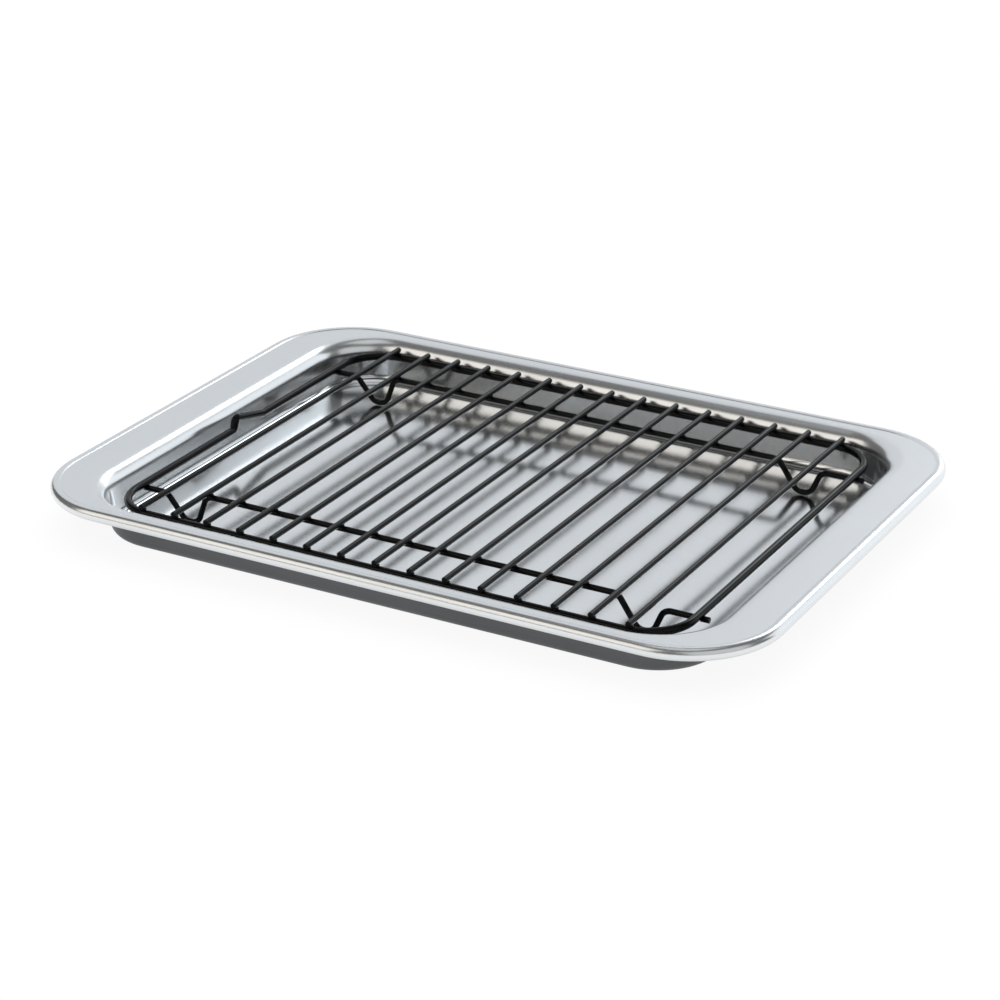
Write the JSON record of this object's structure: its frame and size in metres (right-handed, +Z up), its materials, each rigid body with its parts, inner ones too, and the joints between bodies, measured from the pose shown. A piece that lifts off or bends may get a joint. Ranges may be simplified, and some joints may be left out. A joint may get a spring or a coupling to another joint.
{
  "type": "broiler pan",
  "caption": "Shallow rounded sheet-metal broiler pan with a rolled rim and a black coated wire rack on bent legs that lifts out.",
  "frame": {"origin": "middle of the tray's underside, on the surface it stands on", "axes": "+X along the pan to its right end, +Y to its rear, +Z up"},
  "size_m": [0.356, 0.26, 0.023],
  "materials": {
    "pressed_metal": "bright satin sheet, finely brushed on the flange and near-mirror inside",
    "plain_wire": "plain drawn wire, hidden in the rim",
    "black_coating": "black non-stick coating, semi-gloss"
  },
  "bodies": {
    "tray": {"tray": "pressed_metal", "rim_wire": "plain_wire"},
    "rack": {"frame_front": "black_coating", "frame_rear": "black_coating", "frame_left": "black_coating", "frame_right": "black_coating", "cross_wire_01": "black_coating", "cross_wire_02": "black_coating", "cross_wire_03": "black_coating", "cross_wire_04": "black_coating", "cross_wire_05": "black_coating", "cross_wire_06": "black_coating", "cross_wire_07": "black_coating", "cross_wire_08": "black_coating", "cross_wire_09": "black_coating", "cross_wire_10": "black_coating", "cross_wire_11": "black_coating", "cross_wire_12": "black_coating", "cross_wire_13": "black_coating", "cross_wire_14": "black_coating", "cross_wire_15": "black_coating", "leg_wire_front": "black_coating", "leg_wire_rear": "black_coating"}
  },
  "joints": [
    {"name": "rack_lift", "type": "slide", "parent": "tray", "child": "rack", "axis": [0, 0, 1], "range_m": [0, 0.12]}
  ]
}
